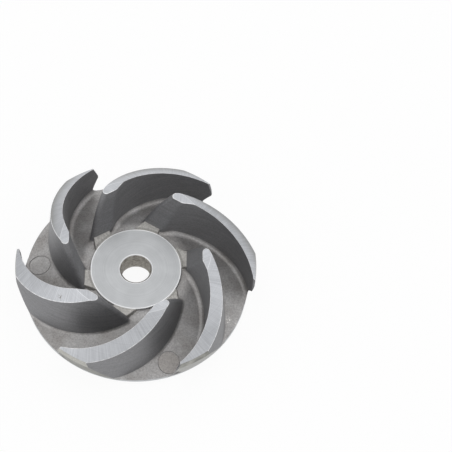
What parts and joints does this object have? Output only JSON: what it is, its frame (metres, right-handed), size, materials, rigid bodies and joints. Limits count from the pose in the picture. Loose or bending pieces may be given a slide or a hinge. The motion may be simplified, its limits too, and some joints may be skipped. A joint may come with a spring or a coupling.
{
  "type": "pump impeller",
  "caption": "Semi-open mixed-flow impeller: backward-swept vanes with sloped, turned tops on a dished disc, plain chamfered bore, turned hub face.",
  "frame": {"origin": "on the bore axis, in the plane of the flat back land the casting rests on", "axes": "+Z along the bore axis, out of the turned hub face towards the inlet; +X and +Y are set by the six vanes, and -Y faces the picture's camera"},
  "size_m": [0.1318, 0.1234, 0.0438],
  "materials": {
    "impeller": "die-cast grey, hub face, vane tops, vane ends and back turned bright"
  },
  "bodies": {
    "root": {"impeller": "impeller"}
  },
  "joints": []
}
